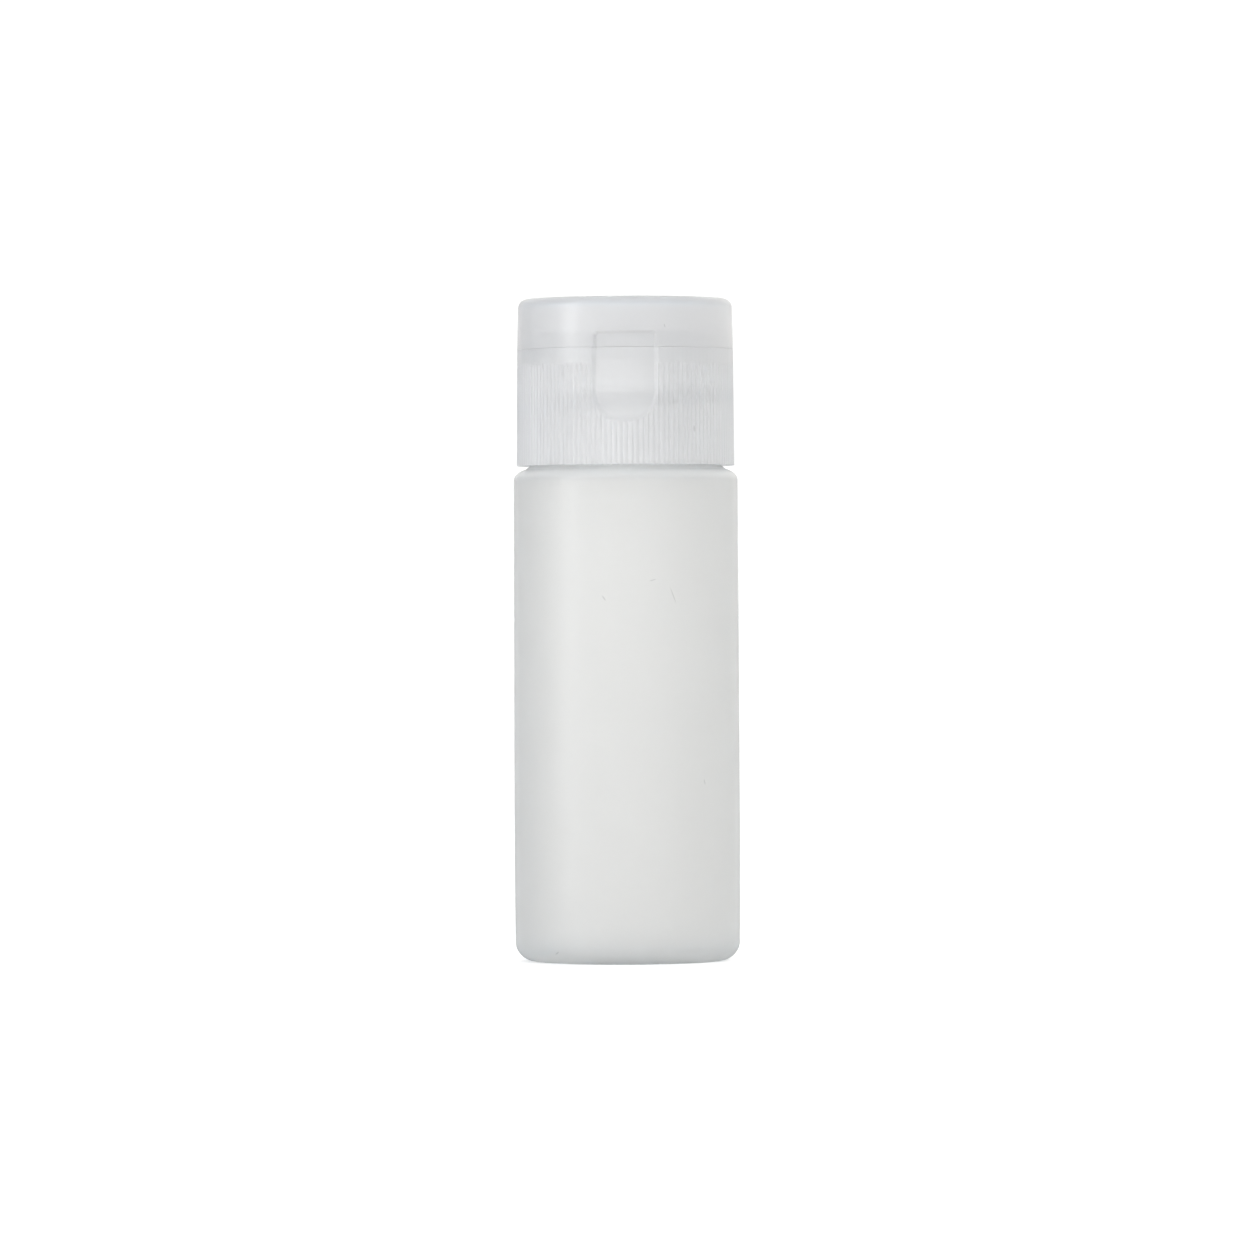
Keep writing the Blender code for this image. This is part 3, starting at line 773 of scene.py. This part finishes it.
def closure_rest(sizes):
    """The rest of the base's section, from the parting edge in over the shelf, deck and nozzle, down the
    orifice, out under the deck, and down the inner wall to the skirt's bottom edge."""
    shelf, deck, nozzle_top = sizes.parting_height, sizes.deck_top, CAP_HIGH.z
    bead = sizes.deck_radius + sizes.snap_bead
    corners = [
        (12.35 * MM, shelf, 0),
        (sizes.deck_radius, shelf, 0.15 * MM),
        (sizes.deck_radius, shelf + 0.9 * MM, 0.2 * MM),
        (bead, shelf + 1.2 * MM, 0.12 * MM),
        (sizes.deck_radius - 0.05 * MM, shelf + 1.6 * MM, 0.2 * MM),
        (sizes.deck_radius - 0.05 * MM, deck, 0.25 * MM),
        (sizes.nozzle_radius, deck, 0.35 * MM),
        (sizes.nozzle_radius - 0.05 * MM, nozzle_top, 0.22 * MM),
        (sizes.orifice_radius, nozzle_top, 0.18 * MM),
        (sizes.orifice_radius, sizes.deck_underside, 0.15 * MM),
        (sizes.liner_seat, sizes.deck_underside, 0.1 * MM),
        (sizes.liner_seat, sizes.shelf_underside, 0.1 * MM),
        (sizes.bore, sizes.shelf_underside, 0.2 * MM),
        (sizes.bore, CAP_LOW.z + 0.7 * MM, 0.4 * MM),
        (sizes.bore + 0.35 * MM, CAP_LOW.z - sizes.skirt_drop, 0.12 * MM),
        (CAP_HIGH.x - 0.2 * MM, CAP_LOW.z - sizes.skirt_drop, 0),
    ]
    return spaced(rounded(corners, steps=4), 1.6 * MM)


def make_closure_mesh(name, sizes, thread):
    """The skirt's fine outside and the turned rest of the section, joined into one closed skin. The inner
    wall's radius is less the thread's ridge."""
    rest = closure_rest(sizes)
    below_shelf = rest[:, 1] < sizes.shelf_underside - 0.25 * MM
    threaded = (np.abs(rest[:, 0] - sizes.bore) < NEAR) & below_shelf
    first, last = np.flatnonzero(threaded)[[0, -1]]
    rest = np.concatenate([rest[:first], spaced(rest[first : last + 1], 0.17 * MM), rest[last + 1 :]])
    radius, height = rest[:, :1], rest[:, 1:]
    on_wall = np.abs(radius - sizes.bore) < NEAR
    angle = full_turn(2 * sizes.rib_count)
    bottom = thread.bottom - thread.lead / 2
    ridge = thread_ridge(height, angle, thread, bottom, thread.cap_crest, thread.cap_root)
    inner = rings(radius - on_wall * ridge * thread.cap_height, height, angle)
    in_rib = np.array([0.0, 0.25, 0.38, 0.5, 0.62, 0.75])
    ribbed_turn = ((np.arange(sizes.rib_count)[:, None] + in_rib) * (math.tau / sizes.rib_count)).ravel()
    outside = skirt_rings(sizes, ribbed_turn)
    return skin(name, [outside, inner], closed=True)


def lid_recess(x, height, sizes):
    """Depth of the recess in the lid's front: a rectangle with rounded upper corners, open at the bottom.
    The distance inside its outline is turned into depth by a smooth step."""
    rounding = sizes.recess_rounding
    away_x = np.maximum(np.abs(x) - (sizes.recess_half_width - rounding), 0.0)
    away_z = np.maximum(height - (sizes.recess_top - rounding), 0.0)
    return sizes.recess_depth * smooth((rounding - np.hypot(away_x, away_z)) / sizes.recess_edge)


def make_lid_mesh(name, sizes, closure):
    """A turned section from the pin's tip over the ceiling, down the inner wall and up the outside to the
    middle of the top. The outside's radius is less the front recess, and the back is trimmed flat."""
    bottom, top, row = closure.parting_height + sizes.gap, LID_HIGH.z, 0.13 * MM
    ceiling = top - sizes.thickness
    pin_tip = closure.deck_top + 0.8 * MM
    rim, parting = LID_HIGH.x, closure.parting_height
    corners = [
        (0.0, pin_tip, 0),
        (0.75 * sizes.pin_radius, pin_tip, 0.3 * MM),
        (sizes.pin_radius, pin_tip + 0.5 * MM, 0.3 * MM),
        (sizes.pin_radius, sizes.boss_foot, 0.08 * MM),
        (sizes.boss_radius, sizes.boss_foot, 0.12 * MM),
        (sizes.boss_radius + 0.05 * MM, ceiling, 0.25 * MM),
        (sizes.bore, ceiling, 0.6 * MM),
        (sizes.bore, parting + 1.55 * MM, 0.1 * MM),
        (sizes.bore + 0.1 * MM, parting + 1.2 * MM, 0.1 * MM),
        (sizes.bore, parting + 0.85 * MM, 0.1 * MM),
        (sizes.bore, bottom, 0.12 * MM),
        (sizes.bore + 0.3 * MM, bottom, 0),
    ]
    edge, rounding = closure.parting_edge, sizes.rounding
    low = arc((rim - edge, bottom + edge), (edge, edge), -90, 0, 2)
    recess_rows = np.arange(low[-1, 1] + row, sizes.recess_top + sizes.recess_edge, row)
    upper_rows = np.linspace(recess_rows[-1], top - rounding, 7)[1:-1]
    height = np.concatenate([recess_rows, upper_rows])
    up = (height - bottom) / (top - rounding - bottom)
    wall = np.stack([rim + (sizes.top_radius - rim) * up, height], axis=1)
    corner = arc((sizes.top_radius - rounding, top - rounding), (rounding, rounding), 0, 90, 12)
    across_top = np.linspace(corner[-1, 0], 0.0, 12)[1:-1]
    crown = np.stack([across_top, np.full(len(across_top), top)], axis=1)
    outside = np.concatenate([low, wall, corner, crown])
    angle = full_turn(sizes.columns)
    radius, level = outside[:, :1], outside[:, 1:]
    on_front_wall = (np.sin(angle) < 0) * (radius > sizes.bore)
    cut = lid_recess(radius * np.cos(angle), level, sizes) * on_front_wall
    points = rings(radius - cut, level, angle)
    points[..., 1] = np.minimum(points[..., 1], closure.back_flat)
    inner = spaced(rounded(corners, steps=4), 1.2 * MM)[1:]
    inner_rings = rings(inner[:, :1], inner[:, 1:], angle)
    return skin(name, [pole(0.0, 0.0, pin_tip), inner_rings, points, pole(0.0, 0.0, top)])


def make_strap_mesh(name, low, high, sizes):
    """A band carried up Z: its section is a superellipse that fills the width and a thickness that dips, as
    a bell curve of the height, along the fold."""
    centre, half = (np.array(low) + np.array(high)) / 2, (np.array(high) - np.array(low)) / 2
    rise = np.linspace(-1.0, 1.0, 41)
    dip = 1 - (1 - sizes.coined_share) * np.exp(-((rise * half[2] / sizes.coined_width) ** 2))
    ends = (1 - rise**10) ** 0.5
    ends[[0, -1]] = 0.35
    angle = full_turn(40)
    across = np.sign(np.cos(angle)) * np.abs(np.cos(angle)) ** 0.35
    through = np.sign(np.sin(angle)) * np.abs(np.sin(angle)) ** 0.5
    edge = 0.97 + 0.03 * ends
    x = centre[0] + half[0] * edge[:, None] * across
    y = centre[1] + half[1] * (dip * ends)[:, None] * through
    z = np.broadcast_to((centre[2] + half[2] * rise)[:, None], x.shape)
    foot, head = (pole(centre[0], centre[1], centre[2] + sign * half[2]) for sign in (-1, 1))
    return skin(name, [foot, np.stack([x, y, z], axis=2), head])


def make_liner_mesh(name, sizes):
    """A washer: a rectangle with rounded corners turned about Z."""
    hole, outer = sizes.liner_hole, LINER_HIGH.x
    low, high, edge = LINER_LOW.z, LINER_HIGH.z, sizes.liner_edge
    middle = (hole + outer) / 2
    corners = [
        (middle, low, 0),
        (outer, low, edge),
        (outer, high, edge),
        (hole, high, edge),
        (hole, low, edge),
        (middle - 0.5 * MM, low, 0),
    ]
    section = spaced(rounded(corners, steps=3), 1.5 * MM)
    return skin(name, [rings(section[:, :1], section[:, 1:], full_turn(160))], closed=True)


# Operators.


class MakeBottle(bpy.types.Operator):
    """Makes the blow-moulded bottle with its threaded neck"""

    bl_idname = "squeeze_bottle.make_bottle"
    bl_label = "Make bottle"

    def execute(self, context):
        project = settings()
        mesh = make_bottle_mesh("bottle_shell", project.bottle, project.thread)
        piece = place(mesh, bottle_material())
        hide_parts("bottle")
        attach(piece, "bottle")
        return {"FINISHED"}


class MakeLiner(bpy.types.Operator):
    """Makes the foamed sealing liner"""

    bl_idname = "squeeze_bottle.make_liner"
    bl_label = "Make sealing liner"

    def execute(self, context):
        piece = place(make_liner_mesh("liner_washer", settings().closure), foam_material())
        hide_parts("sealing_liner")
        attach(piece, "liner")
        return {"FINISHED"}


class MakeClosureBase(bpy.types.Operator):
    """Makes the ribbed base of the closure with its thumb scoop, deck and nozzle"""

    bl_idname = "squeeze_bottle.make_closure_base"
    bl_label = "Make closure base"

    def execute(self, context):
        project = settings()
        mesh = make_closure_mesh("ribbed_closure_base", project.closure, project.thread)
        piece = place(mesh, closure_material())
        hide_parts("cap_base")
        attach(piece, "cap")
        return {"FINISHED"}


class MakeLid(bpy.types.Operator):
    """Makes the flip-top lid with its boss and sealing pin"""

    bl_idname = "squeeze_bottle.make_lid"
    bl_label = "Make lid"

    def execute(self, context):
        project = settings()
        mesh = make_lid_mesh("flip_top_lid", project.lid, project.closure)
        piece = place(mesh, closure_material())
        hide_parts("lid")
        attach(piece, "lid")
        return {"FINISHED"}


class MakeHingeStraps(bpy.types.Operator):
    """Makes the living hinge's three straps between the closure's base and the lid, each thinned along its
    fold line
    """

    bl_idname = "squeeze_bottle.make_hinge_straps"
    bl_label = "Make hinge straps"

    def execute(self, context):
        sizes = settings().hinge
        for side in ("centre", "left", "right"):
            node = f"hinge_strap_{side}"
            mesh = make_strap_mesh(f"living_hinge_{side}", *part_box(node), sizes)
            piece = place(mesh, closure_material())
            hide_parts(node)
            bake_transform(piece)
        return {"FINISHED"}


def floor_material():
    """Pale matt studio floor with a very faint mottle. It glows a little, so that it is seen as plain
    white without lighting the bottle's heel as much."""
    material, nodes, shader, position = new_material("studio_floor")
    tone = nodes.spread(nodes.noise(position, 14.0), 0.3, 0.7, 0.93, 0.95)
    to_camera = nodes.add("LightPath").outputs["Is Camera Ray"]
    held = nodes.math("MULTIPLY", tone, nodes.spread(to_camera, 0.0, 1.0, 0.85, 1.0))
    inputs = {
        "Base Color": nodes.add("CombineColor", {0: held, 1: held, 2: held}).outputs[0],
        "Emission Strength": nodes.spread(to_camera, 0.0, 1.0, 0.2, 0.35),
        "Roughness": 0.9,
        "Specular IOR Level": 0.1,
        "Emission Color": WHITE,
    }
    nodes.feed(shader, inputs)
    return material


def aimed(location, target):
    """A matrix that stands at a place and looks at another, with +Z up."""
    away = (target - location).to_track_quat("-Z", "Y")
    return Matrix.Translation(location) @ away.to_matrix().to_4x4()


def softbox(name, azimuth, elevation, distance, width, height, power, tint=(1.0, 1.0, 1.0)):
    """An area light on a sphere about the bottle's middle. Azimuth 0 is in front, and it is positive to the
    right."""
    a, e = math.radians(azimuth), math.radians(elevation)
    middle = Vector((0.0, 0.0, BOTTLE_HIGH.z / 2))
    away = Vector((math.sin(a) * math.cos(e), -math.cos(a) * math.cos(e), math.sin(e)))
    light = bpy.data.lights.new(name, "AREA")
    light.shape = "RECTANGLE"
    light.size, light.size_y = width, height
    light.energy = power
    light.color = tint
    lamp = bpy.data.objects.new(name, light)
    lamp.matrix_world = aimed(middle + distance * away, middle)
    lamp.visible_camera = False
    bpy.context.scene.collection.objects.link(lamp)
    return lamp


def gathered(name, objects):
    """A collection of objects for linking a light to them. It isn't part of the scene itself."""
    collection = bpy.data.collections.new(name)
    for member in objects:
        collection.objects.link(member)
    return collection


def studio_world():
    """A white surround that is seen as plain white, and lights the bottle most from behind."""
    world = bpy.context.scene.world = bpy.data.worlds.new("studio_surround")
    world.use_nodes = True
    tree = world.node_tree
    tree.nodes.clear()
    nodes = Nodes(tree)
    direction = nodes.add("TexCoord").outputs["Generated"]
    parts = nodes.add("SeparateXYZ", {0: direction}).outputs
    sides = {i: nodes.spread(parts["X"], -0.97, -0.2, *ends) for i, ends in enumerate(SURROUND_SIDES)}
    depths = {i: nodes.spread(parts["Y"], -0.7, 0.7, *ends) for i, ends in enumerate(SURROUND_DEPTHS)}
    tones = [nodes.math("MULTIPLY", sides[i], depths[i]) for i in range(3)]
    tone = nodes.add("CombineColor", dict(enumerate(tones))).outputs[0]
    surround = nodes.add("Background", {"Color": tone, "Strength": 1.0})
    seen = nodes.add("Background", {"Color": WHITE, "Strength": 1.1})
    to_camera = nodes.add("LightPath").outputs["Is Camera Ray"]
    mix = nodes.add("MixShader", {0: to_camera, 1: surround.outputs[0], 2: seen.outputs[0]})
    nodes.add("OutputWorld", {"Surface": mix.outputs[0]})


class SetStage(bpy.types.Operator):
    """Sets the floor, the camera, the lights and the surround"""

    bl_idname = "squeeze_bottle.set_stage"
    bl_label = "Set the stage"

    def execute(self, context):
        looks = settings().studio
        scene = context.scene
        corners = [(FLOOR_HALF * x, FLOOR_HALF * y, 0.0) for x, y in ((-1, -1), (1, -1), (1, 1), (-1, 1))]
        mesh = bpy.data.meshes.new("studio_floor")
        mesh.from_pydata(corners, [], [(0, 1, 2, 3)])
        floor = place(mesh, floor_material())

        data = bpy.data.cameras.new("product_camera")
        data.sensor_width = SENSOR
        data.lens = SENSOR * looks.camera_distance / looks.view_width
        data.clip_start, data.clip_end = 0.01, 20.0
        camera = bpy.data.objects.new("product_camera", data)
        stand = Vector((looks.aim_side, -looks.camera_distance, looks.camera_height))
        aim = Vector((looks.aim_side, 0.0, looks.aim_height))
        camera.matrix_world = aimed(stand, aim) @ Matrix.Rotation(looks.camera_roll, 4, "Z")
        scene.collection.objects.link(camera)
        scene.camera = camera

        softbox("key_softbox", -60, 12, 0.9, 0.18, 0.9, looks.key_power)
        front = softbox("front_fill", 0, 2, 1.2, 0.5, 0.5, looks.front_power, FRONT_TINT)
        shoulder = softbox("shoulder_fill", 0, 62, 1.0, 0.5, 0.5, looks.shoulder_power, FRONT_TINT)
        for fill in (front, shoulder):
            fill.visible_glossy = fill.visible_transmission = False
        # The high fill stands for the light that scatters inside the bottle's plastic, so nothing but the
        # bottle takes it or shades it. The front fill lights all the rest.
        shell = bpy.data.objects["bottle_shell"]
        others = [thing for thing in bpy.data.objects if thing.type == "MESH" and thing is not shell]
        front.light_linking.receiver_collection = gathered("lit_by_front_fill", others)
        shoulder.light_linking.receiver_collection = gathered("lit_by_shoulder_fill", [shell])
        shoulder.light_linking.blocker_collection = gathered("shading_shoulder_fill", [shell, floor])
        studio_world()
        scene.view_settings.view_transform = "Standard"
        # Light has to cross many faces of milky plastic before it dies out.
        scene.cycles.max_bounces = scene.cycles.transmission_bounces = 32
        scene.cycles.diffuse_bounces = scene.cycles.glossy_bounces = 24
        return {"FINISHED"}


class BottlePanel(bpy.types.Panel):
    """Lists the steps in the 3D view's sidebar"""

    bl_idname = "VIEW3D_PT_squeeze_bottle"
    bl_label = "Squeeze bottle"
    bl_space_type = "VIEW_3D"
    bl_region_type = "UI"
    bl_category = "Bottle"

    def draw(self, context):
        for step in STEPS:
            self.layout.operator(step.bl_idname)


STEPS = (MakeBottle, MakeLiner, MakeClosureBase, MakeLid, MakeHingeStraps, SetStage)
SIZES = (BottleSizes, ThreadSizes, ClosureSizes, LidSizes, HingeSizes)
CLASSES = (*SIZES, PlasticLooks, StudioLooks, BottleProject, *STEPS, BottlePanel)


def register():
    for new_class in CLASSES:
        bpy.utils.register_class(new_class)
    bpy.types.Scene.squeeze_bottle = bpy.props.PointerProperty(type=BottleProject)


def unregister():
    del bpy.types.Scene.squeeze_bottle
    for old_class in reversed(CLASSES):
        bpy.utils.unregister_class(old_class)


def main():
    """Runs every step in order."""
    register()
    bpy.ops.squeeze_bottle.make_bottle()
    bpy.ops.squeeze_bottle.make_liner()
    bpy.ops.squeeze_bottle.make_closure_base()
    bpy.ops.squeeze_bottle.make_lid()
    bpy.ops.squeeze_bottle.make_hinge_straps()
    bpy.ops.squeeze_bottle.set_stage()


if __name__ == "__main__":
    main()
